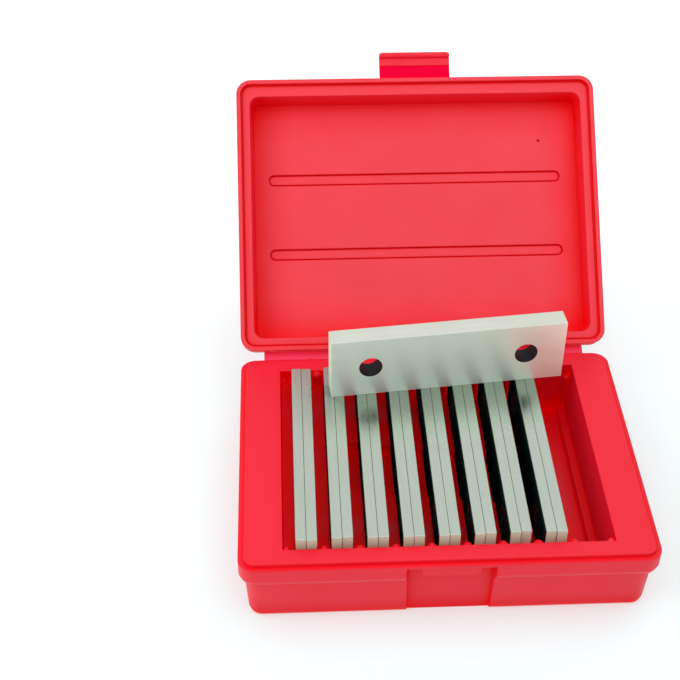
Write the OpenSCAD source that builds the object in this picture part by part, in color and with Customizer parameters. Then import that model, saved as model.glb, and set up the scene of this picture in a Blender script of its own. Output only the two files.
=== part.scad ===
// Set of nine matched pairs of ground steel parallel bars in a hinged blow-moulded plastic case.
// Millimetres, +Z up. The origin is the centre of the case's underside, on the bench.
// The front, with the latch, faces -Y. Eight pairs are stored, and the ninth stands on top of them.

/* [Parallel bars] */
// Length of every bar
bar_l = 152.4; // [150:0.1:153]
// Thickness of one bar
bar_t = 6.35; // [6:0.05:6.4]
// Height of the lowest pair
bar_h_first = 19.05; // [18:0.05:20]
// Growth in height from one pair to the next
bar_h_step = 3.175; // [3:0.005:3.2]
// Distance between the two holes of a bar
hole_spacing = 101.6; // [80:0.1:120]
// Diameter of the holes in the taller bars
hole_d = 15; // [8:0.1:16]
// Chamfer on the edges of a bar
bar_edge = 0.2; // [0.1:0.05:0.5]

/* [Standing pair] */
// Sideways place of the middle of the standing pair
stand_x = 11.2; // [5:0.1:15]
// Distance of its front face behind the middle of the case
stand_y = 54; // [40:0.1:55]
// Turn of the standing pair, seen from above
stand_turn = 5.9; // [0:0.1:6]

/* [Case] */
// Width of both halves
case_w = 247; // [245:0.5:250]
// Depth of both halves, front to back
case_d = 187.5; // [187:0.5:190]
// Height of the base, up to its rim
base_h = 47; // [46:0.5:50]
// Height of the closed lid above the rim
lid_h = 22; // [22:0.5:26]
// Plastic wall thickness
wall = 2; // [1.6:0.1:2]
// Corner radius of the flanges
flange_r = 10; // [9:0.5:12]
// Height of the base flange, with its lip
flange_h = 16.5; // [15:0.5:18]
// Draught of the walls from the flange to the outer face
draught = 1.8; // [1:0.1:2]

/* [Storage recess] */
// Distance between neighbouring pairs
pitch = 20.9; // [20:0.1:21]
// Recess width
recess_w = 195; // [194:0.5:197]
// Recess length, along the bars
recess_l = 159; // [157:0.5:160]
// How far stored bars stand above the rim
proud = 5.5; // [4:0.1:7]
// Height of a rib above the slot floors beside it
rib_rise = 6; // [4:0.5:8]
// Length of the finger gap through the ribs
finger_l = 44; // [30:1:60]

/* [Lid] */
// Depth of the lid's recess
lid_recess = 16; // [14:0.5:17]
// Opening angle of the lid, half at each fold of the hinge
lid_open = 136.4; // [100:0.1:180]
// Free height of the hinge strip between its folds
web_l = 6; // [5:0.5:9]
// Length of the hinge strip along the case
web_w = 216; // [180:1:220]

/* [Latch] */
// Width of the latch
latch_w = 48.6; // [40:0.1:50]
// Length of the latch's thin strap
strap_l = 8.8; // [8:0.1:10]
// Length of the latch's hooked pad
pad_l = 10; // [9:0.5:11]

/* [Hidden] */
$fn = 48;
eps = 0.01;
side = ["left", "right"];
pairs = 9;
// running clearance between parts that move past each other
slack = 0.1;
// how far each stored bar has slid back along its slot, left bar then right bar
slid = [[-0.9, -1.2], [0, 0.4], [-0.3, 0], [-0.4, -0.3], [-0.4, -0.1], [0.2, 0.4], [0.6, 1.5], [0.6, 0.2]];
bar_play = 0.02;
// the ninth pair's edges are only broken with a stone
sharp_edge = 0.08;
slot_w = 2 * bar_t + 0.5;
lip_w = 3.1;
lip_drop = 2.3;
skirt_in = 3.2;
skirt_r = 10;
edge_in = 6;
bar_top = base_h + proud;
notch_w = 53;
notch_draught = 2.2;
notch_y = -case_d / 2 + 7.7;
notch_top = base_h - 4;
catch_w = 34.6;
catch_top = notch_top;
catch_h = 7;
catch_y = -case_d / 2 + 0.8;
nub_r = 3.1;
end_nub_r = 2.5;
side_lean = 0.075;
nub_out = 1.8;
nub_top = base_h - 0.6;
// the two nubs in the back corners stop lower
corner_drop = 6.5;
web_t = 0.9;
bead_r = 0.6;
fold_y = case_d / 2 + bead_r + slack;
latch_fold_y = -case_d / 2 - 0.8;
latch_fold_z = base_h + 2.2;
strap_t = 1.4;
bead_at = 7.2;
opening_w = 229;
opening_back = case_d / 2 - 8.7;
opening_front = -case_d / 2 + 11.2;
opening_r = 6.5;
groove_l = 203.8;
groove_w = 8;
groove_d = 2;
groove_x = -0.9;
groove_line = 1.1;
island_h = 1.2;
groove_back = 68.4;
groove_front = 120.8;
needle_d = 1.6;
steel = [0.72, 0.76, 0.71];
red = [0.91, 0.13, 0.20];
pink = [0.93, 0.30, 0.48];

// height of the bars of a pair, 1 to 9
function bar_h(pair) = bar_h_first + (pair - 1) * bar_h_step;
// middle of a pair's slot
function slot_x(pair) = (pair - 5) * pitch;
// floor of a pair's slot, which brings all stored bars level
function slot_z(pair) = bar_top - bar_h(pair);
// top of the rib after a pair; rib 0 is the ledge left of pair 1
function rib_z(rib) = rib_rise + (slot_z(max(rib, 1)) + slot_z(min(rib + 1, pairs))) / 2;
// middle of the gap after a pair
function gap_x(rib) =
    rib == 0 ? -recess_w / 2 + end_nub_r :
    rib == pairs ? recess_w / 2 - end_nub_r : (slot_x(rib) + slot_x(rib + 1)) / 2;
function hole_for(h) = min(hole_d, h / 2);

// A rounded block whose corner centres stand cx by cy apart; its corners go from radius ra to rb.
module drafted_block(cx, cy, ra, rb, h) {
    for (x = [-cx / 2, cx / 2], y = [-cy / 2, cy / 2])
        translate([x, y, 0])
            cylinder(r1 = ra, r2 = rb, h = h);
    rotate([90, 0, 0])
        linear_extrude(cy, center = true)
            polygon([[-cx / 2 - ra, 0], [cx / 2 + ra, 0], [cx / 2 + rb, h], [-cx / 2 - rb, h]]);
    rotate([90, 0, 90])
        linear_extrude(cx, center = true)
            polygon([[-cy / 2 - ra, 0], [cy / 2 + ra, 0], [cy / 2 + rb, h], [-cy / 2 - rb, h]]);
}

// The flange of one half: seen from its outer face upwards, a rounded edge and then a straight side.
module flange(h) {
    cx = case_w - 2 * flange_r;
    cy = case_d - 2 * flange_r;
    drafted_block(cx, cy, flange_r - 4.5, flange_r - 1.4, 1.5);
    translate([0, 0, 1.5])
        drafted_block(cx, cy, flange_r - 1.4, flange_r, 3.5);
    translate([0, 0, 5])
        drafted_block(cx, cy, flange_r, flange_r, h - 5);
}

// The shallower box behind the flange, from the outer face up.
module skirt(h) {
    cx = case_w - 2 * (skirt_in + skirt_r);
    cy = case_d - 2 * (skirt_in + skirt_r);
    drafted_block(cx, cy, skirt_r - draught - 3, skirt_r - draught - 1, 1);
    translate([0, 0, 1])
        drafted_block(cx, cy, skirt_r - draught - 1, skirt_r - draught, 3);
    translate([0, 0, 4])
        drafted_block(cx, cy, skirt_r - draught, skirt_r, h - 4 + eps);
}

// Slots, rib gaps and finger gap cut out of the base; grow makes it the cut's shell.
module storage(grow = 0) {
    module column(x, w, l, floor_z)
        translate([x - w / 2 - grow, -l / 2 - grow, floor_z - grow])
            cube([w + 2 * grow, l + 2 * grow, base_h + 1 - floor_z + grow]);
    for (pair = [1:pairs])
        column(slot_x(pair), slot_w, recess_l, slot_z(pair));
    for (rib = [1:pairs - 1])
        column(gap_x(rib), pitch - slot_w + 2 * eps, recess_l, rib_z(rib));
    for (rib = [2:pairs - 1])
        column(gap_x(rib), pitch - slot_w + 2 * eps, finger_l, slot_z(rib + 1));
    ledge_w = recess_w / 2 - slot_x(pairs) - slot_w / 2 + eps;
    for (right = [0, 1])
        mirror([1 - right, 0, 0])
            side_ledge(ledge_w, rib_z(right * pairs), grow);
}

// Space above one side ledge; its outer wall leans inwards towards the ledge.
module side_ledge(w, floor_z, grow) {
    x = recess_w / 2 + grow;
    lean = (base_h - floor_z) * side_lean;
    rotate([90, 0, 0])
        linear_extrude(recess_l + 2 * grow, center = true)
            polygon([[x - w - 2 * grow, floor_z - grow], [x - lean, floor_z - grow], [x, base_h],
                [x, base_h + 1], [x - w - 2 * grow, base_h + 1]]);
}

// Round nubs on the end walls that keep the pairs apart.
module nubs() {
    for (rib = [0:pairs], end = [-1, 1]) {
        outermost = rib == 0 || rib == pairs;
        r = outermost ? end_nub_r : nub_r;
        top = nub_top - (outermost && end > 0 ? corner_drop : 0);
        h = max(0.6, top - r - rib_z(rib) + 1);
        translate([gap_x(rib), end * (recess_l / 2 - nub_out), rib_z(rib) - 1]) {
            cylinder(r = r, h = h);
            translate([0, 0, h])
                sphere(r = r);
            translate([-r, end > 0 ? 0 : -nub_out - 1, 0])
                cube([2 * r, nub_out + 1, h]);
            translate([0, 0, h])
                rotate([end > 0 ? -90 : 90, 0, 0])
                    cylinder(r = r, h = nub_out + 1);
        }
    }
}

// Catch under the rim that the latch snaps onto.
module catch() {
    r = 4;
    translate([0, notch_y + eps, 0])
        rotate([90, 0, 0])
            linear_extrude(notch_y - catch_y + eps) {
                translate([-catch_w / 2, catch_top - catch_h + r])
                    square([catch_w, catch_h - r + eps]);
                translate([-catch_w / 2 + r, catch_top - catch_h])
                    square([catch_w - 2 * r, catch_h]);
                for (x = [-1, 1])
                    translate([x * (catch_w / 2 - r), catch_top - catch_h + r])
                        circle(r = r);
            }
}

// Latch notch seen from above, narrower at its back.
module notch_plan() {
    y = -case_d / 2;
    polygon([[-notch_w / 2 + notch_draught, notch_y], [-notch_w / 2, y], [-notch_w / 2 - 0.5, y - 5],
        [notch_w / 2 + 0.5, y - 5], [notch_w / 2, y], [notch_w / 2 - notch_draught, notch_y]]);
}

// Closed hollow between the base's two walls.
module base_hollow() {
    cx = case_w - 2 * (skirt_in + skirt_r);
    cy = case_d - 2 * (skirt_in + skirt_r);
    difference() {
        translate([0, 0, wall])
            drafted_block(cx, cy, skirt_r - draught - wall, skirt_r - wall, base_h - 3 * wall);
        storage(wall);
        translate([-notch_w / 2 - wall, notch_y - 10, 0])
            cube([notch_w + 2 * wall, 10 + wall, base_h]);
    }
}

module case_base() {
    color(red)
    union() {
        difference() {
            union() {
                skirt(base_h - flange_h);
                translate([0, 0, base_h - flange_h])
                    flange(flange_h - lip_drop);
                translate([0, 0, base_h - lip_drop - eps])
                    drafted_block(case_w - 2 * flange_r, case_d - 2 * flange_r,
                        flange_r - lip_w, flange_r - lip_w - 0.3, lip_drop + eps);
            }
            storage();
            base_hollow();
            translate([0, 0, -1])
                linear_extrude(notch_top + 1)
                    notch_plan();
            translate([0, -recess_l / 2 - 4, -1])
                cylinder(d = needle_d, h = 10);
        }
        intersection() {
            nubs();
            translate([-recess_w / 2, -case_d / 2, 0])
                cube([recess_w, case_d, base_h]);
        }
        catch();
    }
}

// Turns what is drawn for the closed lid about one fold of the hinge.
module fold(z, angle)
    translate([0, fold_y, z])
        rotate([-angle, 0, 0])
            translate([0, -fold_y, -z])
                children();

fold_z = base_h - web_l / 2;
lid_fold_z = base_h + web_l / 2;

// Puts the closed lid and its latch where they stand when the case is open.
module opened()
    fold(fold_z, lid_open / 2)
        fold(lid_fold_z, lid_open / 2)
            children();

// Living hinge: a thin strip with a round bead along each fold.
module hinge_web() {
    color(pink)
    fold(fold_z, lid_open / 2) {
        translate([-web_w / 2, fold_y - web_t / 2, fold_z])
            cube([web_w, web_t, web_l]);
        for (z = [fold_z, lid_fold_z])
            translate([-web_w / 2, fold_y, z])
                rotate([0, 90, 0])
                    cylinder(r = bead_r, h = web_w);
    }
}

// The recess inside the lid, with its two outlined grooves, drawn closed.
module lid_inside(grow = 0) {
    cy = opening_back - opening_front - 2 * opening_r;
    translate([0, (opening_back + opening_front) / 2, base_h - eps])
        drafted_block(opening_w - 2 * opening_r, cy, opening_r + grow,
            opening_r - 2.1 + grow, lid_recess + grow + eps);
    for (t = [groove_back, groove_front])
        translate([groove_x, case_d / 2 - t, base_h + lid_recess - eps])
            difference() {
                lid_groove(grow);
                if (grow == 0)
                    translate([0, 0, groove_d - island_h])
                        lid_groove(-groove_line);
            }
}

module lid_groove(grow) {
    w = groove_w + 2 * grow;
    h = groove_d + abs(grow);
    cube_l = groove_l - groove_w;
    translate([-cube_l / 2, -w / 2, 0])
        cube([cube_l, w, h]);
    for (x = [-cube_l / 2, cube_l / 2])
        translate([x, 0, 0])
            cylinder(d = w, h = h);
}

module lid_hollow() {
    cx = case_w - 2 * (skirt_in + skirt_r);
    cy = case_d - 2 * (skirt_in + skirt_r);
    difference() {
        translate([0, 0, base_h + wall])
            drafted_block(cx, cy, skirt_r - wall, skirt_r - draught - wall, lid_h - 2 * wall);
        lid_inside(wall - 0.4);
    }
}

module case_lid() {
    cx = case_w - 2 * flange_r;
    cy = case_d - 2 * flange_r;
    color(red)
    opened()
        difference() {
            union() {
                translate([0, 0, base_h + lid_h])
                    mirror([0, 0, 1])
                        skirt(lid_h - 12);
                translate([0, 0, base_h + 12])
                    mirror([0, 0, 1])
                        flange(12 + lip_drop - 0.2);
            }
            lid_inside();
            lid_hollow();
            // the base's raised rim fits inside the lip
            translate([0, 0, base_h - lip_drop])
                drafted_block(cx, cy, flange_r - lip_w + 0.3, flange_r - lip_w + 0.3, lip_drop + slack);
            // shallow groove inside the lip
            difference() {
                translate([0, 0, base_h - eps])
                    drafted_block(cx, cy, flange_r - lip_w + 0.3, flange_r - lip_w, 0.8);
                translate([0, 0, base_h - 1])
                    drafted_block(cx, cy, flange_r - lip_w - 1.1, flange_r - lip_w - 1.1, 3);
            }
            translate([86.8, case_d / 2 - 146.4, base_h])
                cylinder(d = needle_d, h = lid_h - wall);
        }
}

// The latch is drawn on the closed lid, standing straight out from its front edge.
module latch_strap() {
    color(pink)
    opened()
        translate([-latch_w / 2, 0, 0]) {
            translate([0, latch_fold_y - strap_l, latch_fold_z - strap_t / 2])
                cube([latch_w, strap_l, strap_t]);
            translate([0, latch_fold_y, latch_fold_z])
                rotate([0, 90, 0])
                    cylinder(d = strap_t, h = latch_w);
        }
}

// Hooked pad: a thick plate with a round bead that snaps under the catch.
module latch_hook() {
    y = latch_fold_y - strap_l - eps;
    z = latch_fold_z;
    color(red)
    opened()
        intersection() {
            rotate([90, 0, 90])
                linear_extrude(latch_w, center = true) {
                    translate([y - pad_l + 1.6, z - 1.3])
                        square([pad_l - 1.6, 3.2]);
                    translate([y - pad_l + 1.6, z + 0.3])
                        circle(r = 1.6);
                    translate([y - bead_at, z - 1.3])
                        circle(r = 1.9);
                }
            translate([0, 0, z - 6])
                linear_extrude(12)
                    pad_plan(y);
        }
}

// Pad seen from above on the closed lid's plane: rounded outer corners.
module pad_plan(y) {
    r = 3;
    translate([-latch_w / 2, y - pad_l + r])
        square([latch_w, pad_l]);
    translate([-latch_w / 2 + r, y - pad_l - 1])
        square([latch_w - 2 * r, pad_l]);
    for (x = [-1, 1])
        translate([x * (latch_w / 2 - r), y - pad_l + r])
            circle(r = r);
}

// A bar lying along Y on its lower edge, centred on the origin.
module bar(h, edge = bar_edge) {
    module section(a, b)
        polygon([[-a / 2 + edge, 0], [a / 2 - edge, 0], [a / 2, edge], [a / 2, b - edge],
            [a / 2 - edge, b], [-a / 2 + edge, b], [-a / 2, b - edge], [-a / 2, edge]]);
    difference() {
        intersection() {
            rotate([90, 0, 0])
                linear_extrude(bar_l, center = true)
                    section(bar_t, h);
            rotate([90, 0, 90])
                linear_extrude(bar_t, center = true)
                    section(bar_l, h);
            translate([0, -bar_l / 2, 0])
                linear_extrude(h)
                    section(bar_t, bar_l);
        }
        for (y = [-hole_spacing / 2, hole_spacing / 2])
            translate([0, y, h / 2])
                rotate([0, 90, 0])
                    cylinder(d = hole_for(h), h = bar_t + 2, center = true);
    }
}

// One bar of a stored pair; which is 0 for the left bar and 1 for the right one.
module stored_bar(pair, which) {
    color(steel)
    translate([slot_x(pair) + (which - 0.5) * (bar_t + bar_play), slid[pair - 1][which], slot_z(pair)])
        bar(bar_h(pair));
}

// One bar of the ninth pair, standing across the stored ones; which is 0 for the front bar.
module standing_bar(which) {
    color(steel)
    translate([stand_x, stand_y, bar_top + bar_play])
        rotate([0, 0, stand_turn])
            translate([0, (which + 0.5) * bar_t + which * bar_play, 0])
                rotate([0, 0, -90])
                    bar(bar_h(9), sharp_edge);
}

case_base();
hinge_web();
case_lid();
latch_strap();
latch_hook();
stored_bar(1, 0);  // bar_1_left
stored_bar(1, 1);  // bar_1_right
stored_bar(2, 0);  // bar_2_left
stored_bar(2, 1);  // bar_2_right
stored_bar(3, 0);  // bar_3_left
stored_bar(3, 1);  // bar_3_right
stored_bar(4, 0);  // bar_4_left
stored_bar(4, 1);  // bar_4_right
stored_bar(5, 0);  // bar_5_left
stored_bar(5, 1);  // bar_5_right
stored_bar(6, 0);  // bar_6_left
stored_bar(6, 1);  // bar_6_right
stored_bar(7, 0);  // bar_7_left
stored_bar(7, 1);  // bar_7_right
stored_bar(8, 0);  // bar_8_left
stored_bar(8, 1);  // bar_8_right
standing_bar(0);  // bar_9_front
standing_bar(1);  // bar_9_rear
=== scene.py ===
# The look of a boxed set of parallel bars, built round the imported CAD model.
import math

import bpy
from mathutils import Matrix, Vector


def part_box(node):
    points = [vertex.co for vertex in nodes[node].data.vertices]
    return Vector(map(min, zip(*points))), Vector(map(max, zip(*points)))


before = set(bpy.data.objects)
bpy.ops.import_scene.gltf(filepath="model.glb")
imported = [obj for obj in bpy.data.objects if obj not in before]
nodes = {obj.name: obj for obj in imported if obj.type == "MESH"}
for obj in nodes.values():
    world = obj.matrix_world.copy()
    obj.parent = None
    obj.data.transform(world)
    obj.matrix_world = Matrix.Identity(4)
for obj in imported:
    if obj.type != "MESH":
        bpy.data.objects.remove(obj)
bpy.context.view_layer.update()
scene = bpy.context.scene

# ---------- colours, linear ----------
WHITE = (1, 1, 1, 1)
PURE_RED = (1, 0, 0, 1)
CASE_RED = (0.87, 0.006, 0.028, 1)
# the lid's red is the case's red made pinker: a painted sheen of the front light on the lid
LID_RED_WITH_PAINTED_SHEEN = (0.89, 0.025, 0.050, 1)
HIDDEN_RED = (0.84, 0.0, 0.002, 1)
WEB_PINK = (0.86, 0.055, 0.135, 1)
HIDDEN_WEB = (0.84, 0.035, 0.10, 1)
STRAP_CRIMSON = (0.88, 0.0, 0.045, 1)
HIDDEN_STRAP = (0.86, 0.0, 0.03, 1)
# the standing pair's steel is the stored bars' steel made brighter: painted light on its upright faces
STANDING_STEEL_PAINTED_LIGHT = (0.90, 1.0, 0.88)
STORED_STEEL = (0.585, 0.66, 0.585)
STAIN = (0.50, 0.53, 0.45, 1)
SPECK = (0.30, 0.29, 0.24, 1)
# painted reflection and shade on bar tops
MIRRORED = (0.2, 0.24, 0.2, 1)
# painted shade for the sides of stored bars where a neighbour stands close
GAP_SHADE = (0.004, 0.018, 0.018, 1)
END_FACE = (0.62, 0.81, 0.62, 1)
NEAR_BLACK_BORE = (0.012, 0.03, 0.035, 1)
STANDING_GLOW = (0.85, 1, 0.82, 1)
PAPER = (0.491, 0.617, 0.624, 1)
PAPER_SHADE = (0.468, 0.591, 0.604, 1)

# ---------- sizes in metres, angles in radians ----------
HOLE_FROM_MIDDLE = 0.0508
LARGEST_HOLE = 0.015
# a point this far outside the drilled radius still counts as the hole's wall
HOLE_SLACK = 0.00005
# how far the standing pair is turned from square across the stored bars
STANDING_TURN = math.radians(5.9)

# a face whose normal has this much of an axis faces along that axis
FACES = 0.8
FACES_UP = 0.5


# ---------- small helpers for node materials ----------
class Mat:
    """A node material, built one node at a time."""

    def __init__(self, name):
        self.m = bpy.data.materials.new(name)
        self.m.use_nodes = True
        self.t = self.m.node_tree
        self.t.nodes.clear()
        self.out = self.t.nodes.new("ShaderNodeOutputMaterial")
        self.bsdf = self.t.nodes.new("ShaderNodeBsdfPrincipled")
        self.t.links.new(self.bsdf.outputs[0], self.out.inputs[0])

    def put(self, node, key, value):
        """Link a socket to an input, or set the input's value; None leaves it alone."""
        if value is None:
            return
        socket = node.inputs[key]
        if isinstance(value, bpy.types.NodeSocket):
            self.t.links.new(value, socket)
        else:
            socket.default_value = value

    def surface(self, **inputs):
        """Set inputs of the surface shader, with _ for each space in a name."""
        for k, v in inputs.items():
            self.put(self.bsdf, k.replace("_", " "), v)

    def node(self, kind, props=None, **inputs):
        n = self.t.nodes.new("ShaderNode" + kind)
        for k, v in (props or {}).items():
            setattr(n, k, v)
        for k, v in inputs.items():
            self.put(n, k.replace("_", " "), v)
        return n

    def where(self, scale=(1, 1, 1)):
        """Object coordinates in millimetres, stretched."""
        n = self.node("Mapping", Vector=self.node("TexCoord").outputs["Object"])
        n.inputs["Scale"].default_value = [1000 * s for s in scale]
        return n.outputs[0]

    def noise(self, at, scale, detail=3.0, rough=0.5):
        return self.node("TexNoise", Vector=at, Scale=scale, Detail=detail, Roughness=rough).outputs[0]

    def spread(self, value, a, b, lo, hi):
        """value from a..b mapped to lo..hi."""
        n = self.node("MapRange", Value=value)
        for i, v in enumerate((a, b, lo, hi), 1):
            n.inputs[i].default_value = v
        return n.outputs[0]

    def mix(self, factor, a, b):
        n = self.node("Mix", {"data_type": "RGBA"})
        self.put(n, 0, factor)
        self.put(n, 6, a)
        self.put(n, 7, b)
        return n.outputs[2]

    def math(self, op, a, b=0):
        n = self.node("Math", {"operation": op})
        self.put(n, 0, a)
        self.put(n, 1, b)
        return n.outputs[0]

    def bump(self, height, strength, distance, normal=None):
        n = self.node("Bump", Height=height, Strength=strength, Distance=distance)
        self.put(n, "Normal", normal)
        return n.outputs[0]

    def rounded(self, radius):
        """Normals that round every edge by a radius."""
        n = self.node("Bevel", {"samples": 6})
        n.inputs["Radius"].default_value = radius
        return n.outputs[0]

    def openness(self, reach):
        """1 where nothing stands within reach, less in corners and gaps."""
        return self.node("AmbientOcclusion", {"samples": 4}, Distance=reach).outputs["AO"]


def scaled(colour, by):
    return [by * c for c in colour[:3]] + [1]


# ---------- plastic ----------
def plastic(name, base, hidden_base, rough, edge, glow=0.1, grain=0.5, shine=0.5, reach=0.014, lift=0.13):
    """Blow-moulded polyethylene: slightly uneven colour, a soft sheen, fine orange peel and scuffs.
    Light that bounces in corners and slots comes out a fuller red, so they take another base colour
    and a little red light of their own, the lift."""
    k = Mat(name)
    here = k.where()
    blotch = k.spread(k.noise(here, 0.012), 0.3, 0.7, 0, 1)
    cloud = k.noise(here, 0.05)
    hidden = k.openness(reach)
    open_air = k.spread(hidden, 0.5, 0.96, 0, 1)
    scuff = k.noise(k.where((0.05, 1.0, 0.4)), 0.8, 4, 0.6)
    wear = k.spread(scuff, 0.55, 0.75, 0, 0.12)
    peel = k.noise(here, 1.1, 2)
    waves = k.noise(here, 0.035, 2, 0.4)
    flow = k.noise(k.where((1.0, 0.03, 0.03)), 0.35, 2)
    n = k.bump(waves, 0.2, 0.0006, k.rounded(edge))
    n = k.bump(flow, 0.15 * grain, 0.0002, n)
    n = k.bump(peel, 0.2 * grain, 0.0001, n)
    k.surface(
        Base_Color=k.mix(open_air, hidden_base, k.mix(blotch, base, scaled(base, 0.94))),
        Roughness=k.math("ADD", k.spread(cloud, 0.3, 0.7, rough - 0.05, rough + 0.06), wear),
        Normal=n,
        Subsurface_Weight=glow,
        Subsurface_Radius=(1.0, 0.1, 0.12),
        Subsurface_Scale=0.003,
        Emission_Color=PURE_RED,
        Emission_Strength=k.spread(hidden, 0.25, 0.7, lift, 0),
        IOR=1.48,
        Specular_IOR_Level=k.spread(open_air, 0, 1, shine * 0.15, shine),
    )
    return k.m


# ---------- steel ----------
def ground_steel(name, node, standing, seed):
    """Surface-ground tool steel: fine lines along the bar, a slight mirror, faint stains.
    The walls of the drilled holes are near black, and the end faces are duller than the sides.
    The sides of a stored bar get painted shade where a neighbour hides them, and its top a painted
    reflection where it mirrors the standing pair."""
    k = Mat(name)
    turn = STANDING_TURN - math.pi / 2 if standing else 0.0
    metal = 0.7 if standing else 1.0
    rough = 0.42 if standing else 0.25
    # painted light: the standing pair takes the brighter copy of the steel
    tone = STANDING_STEEL_PAINTED_LIGHT if standing else STORED_STEEL
    low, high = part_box(node)
    middle = [(a + b) / 2 for a, b in zip(low, high)]
    bore_r = min(LARGEST_HOLE, (high[2] - low[2]) / 2) / 2

    # x across the bar, y along it and z up, from its middle
    shifted = k.node("VectorMath", {"operation": "SUBTRACT"})
    k.put(shifted, 0, k.node("TexCoord").outputs["Object"])
    k.put(shifted, 1, middle)

    def turned(vector):
        return k.node("VectorRotate", {"rotation_type": "Z_AXIS"}, Vector=vector, Angle=-turn).outputs[0]

    local = turned(shifted.outputs[0])
    place = k.node("SeparateXYZ", Vector=local).outputs
    toward = k.node("SeparateXYZ", Vector=turned(k.node("TexCoord").outputs["Normal"])).outputs
    along = k.math("SUBTRACT", k.math("ABSOLUTE", place[1]), HOLE_FROM_MIDDLE)
    along_squared = k.math("MULTIPLY", along, along)
    up_squared = k.math("MULTIPLY", place[2], place[2])
    from_hole = k.math("SQRT", k.math("ADD", along_squared, up_squared))
    bore = k.math("LESS_THAN", from_hole, bore_r + HOLE_SLACK)
    side = k.math("GREATER_THAN", k.math("ABSOLUTE", toward[0]), FACES)
    end = k.math("GREATER_THAN", k.math("ABSOLUTE", toward[1]), FACES)
    top = k.math("GREATER_THAN", toward[2], FACES_UP)

    def grain(scale, stretch, shift, detail, roughness):
        at = k.node("Mapping", Vector=local, Scale=[1000 * v for v in stretch], Location=shift)
        return k.noise(at.outputs[0], scale, detail, roughness)

    fine = grain(1.5, (1, 0.02, 1), (seed, 0, 0), 3, 0.6)
    broad = grain(0.5, (1, 0.03, 1), (seed, 3, 0), 3, 0.6)
    stain = grain(0.03, (1, 1, 1), (seed * 3, 0, 7), 4, 0.6)
    speck = grain(0.7, (1, 1, 1), (seed * 5, 2, 0), 2, 0.5)

    # painted shade: a stored bar's sides go near black and lose metal and sheen where a neighbour stands
    # close
    dark_side = 0.0 if standing else k.math("MULTIPLY", side, k.spread(k.openness(0.012), 0.78, 0.97, 1, 0))
    # painted reflection and shade: a stored bar's top goes towards MIRRORED where the standing pair stands
    # near; the standing pair's own tops always take 0.3 of it
    dark_top = 0.3 if standing else k.spread(k.openness(0.05), 0.72, 0.98, 0.85, 0)
    lines = k.mix(k.spread(fine, 0.3, 0.7, 0, 1), scaled(tone, 0.95), scaled(tone, 1.05))
    stained = k.mix(k.spread(stain, 0.45, 0.8, 0, 0.2), lines, STAIN)
    specked = k.mix(k.spread(speck, 0.72, 0.78, 0, 0.06), stained, SPECK)
    lit = k.mix(k.math("MULTIPLY", top, dark_top), specked, MIRRORED)
    gap_shaded = k.mix(dark_side, lit, GAP_SHADE)
    dull = k.mix(end, gap_shaded, END_FACE)
    less_metal = k.math("MULTIPLY", end, metal - 0.2)
    uneven = k.spread(broad, 0.3, 0.7, rough - 0.03, rough + 0.04)
    sheen = k.math("ADD", uneven, k.spread(stain, 0.45, 0.8, 0, 0.07))
    n = k.bump(broad, 0.05, 0.00005, k.rounded(0.0002))
    k.surface(
        Base_Color=k.mix(bore, dull, NEAR_BLACK_BORE),
        Metallic=k.math("SUBTRACT", k.math("SUBTRACT", metal, less_metal), dark_side),
        Specular_IOR_Level=k.math("SUBTRACT", 0.5, k.math("MULTIPLY", dark_side, 0.5)),
        Roughness=k.math("ADD", sheen, k.math("MULTIPLY", end, 0.2)),
        Normal=k.bump(fine, 0.12, 0.00001, n),
    )
    if standing:
        # the upright faces catch little of the light from above, so they get a touch of their own
        k.surface(Emission_Color=STANDING_GLOW, Emission_Strength=k.spread(bore, 0, 1, 0.05, 0))
    return k.m


red = plastic("red_plastic", CASE_RED, HIDDEN_RED, 0.4, 0.0006, shine=0.4)
# the lid takes the pinker red, a painted sheen
lid_red = plastic("lid_plastic", LID_RED_WITH_PAINTED_SHEEN, HIDDEN_RED, 0.42, 0.0009, reach=0.03, lift=0.04)
web = plastic("web_plastic", WEB_PINK, HIDDEN_WEB, 0.4, 0.0003, glow=0.2, grain=0.8)
strap = plastic("hinge_plastic", STRAP_CRIMSON, HIDDEN_STRAP, 0.45, 0.0003, grain=0.8, shine=0.02)
moulded = {"case_lid": lid_red, "hinge_web": web, "latch_strap": strap}

for name, obj in nodes.items():
    obj.data.materials.clear()
    if name.startswith("bar_"):
        pair = int(name[4])
        seed = 7.0 * pair + (2.0 if name.endswith(("left", "front")) else 4.5)
        obj.data.materials.append(ground_steel("steel_" + name, name, pair == 9, seed))
    else:
        obj.data.materials.append(moulded.get(name, red))


# ---------- floor ----------
def paper(name):
    """Pale paper that glows, less near the case: a painted shadow round the case."""
    k = Mat(name)
    here = k.where()
    position = k.node("NewGeometry").outputs["Position"]
    from_case = k.node("VectorMath", {"operation": "LENGTH"}, Vector=position).outputs["Value"]
    k.surface(
        Base_Color=k.mix(k.noise(here, 0.004, 2), PAPER, PAPER_SHADE),
        Roughness=k.spread(k.noise(here, 0.05), 0.3, 0.7, 0.55, 0.7),
        Normal=k.bump(k.noise(here, 0.6, 2), 0.05, 0.0002),
        Emission_Color=WHITE,
        # painted shadow: the paper's glow is weaker within 0.14 to 0.34 m of the origin, where the case
        # stands
        Emission_Strength=k.spread(from_case, 0.14, 0.34, 0.41, 0.56),
    )
    return k.m


bpy.ops.mesh.primitive_plane_add(size=6, location=(0, 0.6, -0.0003))
floor = bpy.context.object
floor.name = "floor"
floor.data.materials.append(paper("floor_paper"))

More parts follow.
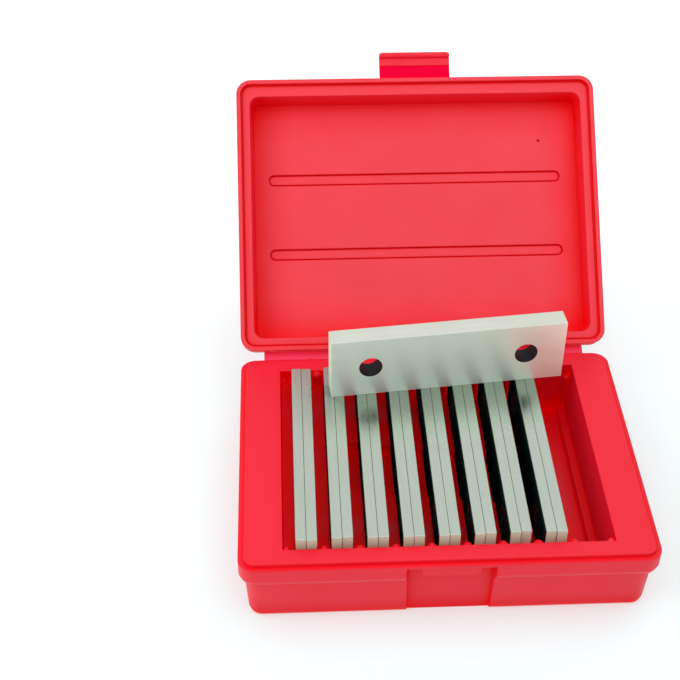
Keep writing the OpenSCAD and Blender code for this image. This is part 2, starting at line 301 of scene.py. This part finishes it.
# ---------- light ----------
# white all round, brighter behind the case than in front of it, and plain white to the camera
world = bpy.data.worlds.new("studio")
scene.world = world
world.use_nodes = True
sky = world.node_tree
background = sky.nodes["Background"]
background.inputs[0].default_value = WHITE
way = sky.nodes.new("ShaderNodeSeparateXYZ")
sky.links.new(sky.nodes.new("ShaderNodeTexCoord").outputs["Generated"], way.inputs[0])
fade = sky.nodes.new("ShaderNodeMapRange")
for i, v in enumerate((-1, 1, 0.46, 0.88), 1):
    fade.inputs[i].default_value = v
sky.links.new(way.outputs["Y"], fade.inputs[0])
seen = sky.nodes.new("ShaderNodeMix")
sky.links.new(sky.nodes.new("ShaderNodeLightPath").outputs["Is Camera Ray"], seen.inputs[0])
sky.links.new(fade.outputs[0], seen.inputs[2])
seen.inputs[3].default_value = 1.0
sky.links.new(seen.outputs[0], background.inputs[1])


def soft_box(name, place, target, size, power):
    """A rectangular area light at a place, facing a target."""
    data = bpy.data.lights.new(name, "AREA")
    data.shape = "RECTANGLE"
    data.size, data.size_y = size
    data.energy = power
    obj = bpy.data.objects.new(name, data)
    scene.collection.objects.link(obj)
    obj.location = place
    obj.rotation_euler = (Vector(target) - Vector(place)).to_track_quat("-Z", "Y").to_euler()


soft_box("front_box", (0.1, -0.8, 1.4), (0, 0, 0.05), (1.6, 1.0), 4.9)
soft_box("top_box", (0.5, 0.1, 1.5), (0, 0, 0), (1.2, 1.2), 4.2)
soft_box("left_box", (-1.1, -0.3, 1.0), (0, 0, 0.05), (0.9, 0.9), 6.4)

# ---------- camera ----------
EYE = (-0.0897, -0.6323, 0.6567)
YAW = -0.0558
PITCH = -0.6951
ROLL = 0.0129

camera_data = bpy.data.cameras.new("camera")
camera = bpy.data.objects.new("camera", camera_data)
scene.collection.objects.link(camera)
scene.camera = camera
camera_data.sensor_width = 36
camera_data.lens = 74.56
camera_data.clip_start = 0.01
camera_data.shift_x = -0.0173
camera_data.shift_y = 0.0178
ahead = Vector((-math.sin(YAW) * math.cos(PITCH), math.cos(YAW) * math.cos(PITCH), math.sin(PITCH)))
level = Vector((math.cos(YAW), math.sin(YAW), 0))
upright = level.cross(ahead)
right = math.cos(ROLL) * level + math.sin(ROLL) * upright
up = -math.sin(ROLL) * level + math.cos(ROLL) * upright
basis = Matrix((right, up, -ahead)).transposed()
camera.matrix_world = Matrix.Translation(EYE) @ basis.to_4x4()

scene.view_settings.view_transform = "Standard"
scene.view_settings.look = "None"
scene.cycles.seed = 3
